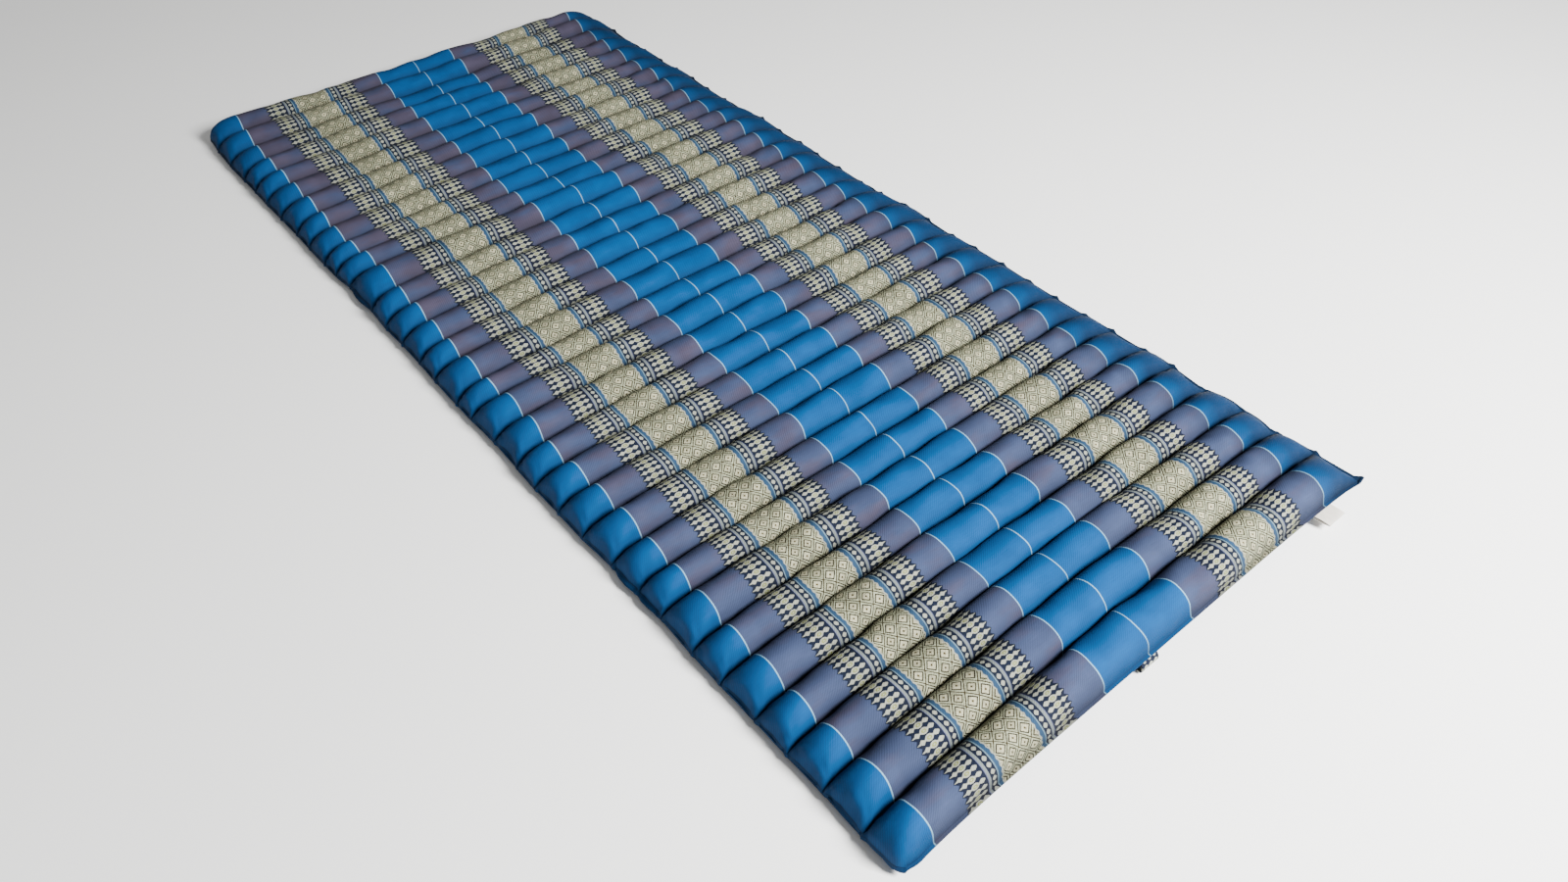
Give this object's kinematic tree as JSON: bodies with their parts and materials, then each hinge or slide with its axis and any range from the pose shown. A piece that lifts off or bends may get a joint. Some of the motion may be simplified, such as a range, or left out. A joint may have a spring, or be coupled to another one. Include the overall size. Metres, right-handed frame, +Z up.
{
  "type": "thai mattress",
  "caption": "Roll-up floor mattress of stuffed cloth tubes sewn side by side, with a patterned cotton cover, a sewn-in tie and a blank label; for sitting or lying on the floor",
  "frame": {"origin": "on the floor, in the middle of the mattress, on the flat underside of the middle tube", "axes": "+X runs along the tubes to the right seen from the label end, +Y runs along the length away from the label end, +Z points up"},
  "size_m": [0.8684, 1.9386, 0.0488],
  "materials": {
    "cover": "smooth cotton twill, blue, with woven bands of purple-grey, cream and navy",
    "tie": "patterned cotton, cream on navy",
    "label": "plain woven cotton tape, warm white"
  },
  "bodies": {
    "root": {"mattress": "cover", "tie": "tie", "label": "label"}
  },
  "joints": []
}
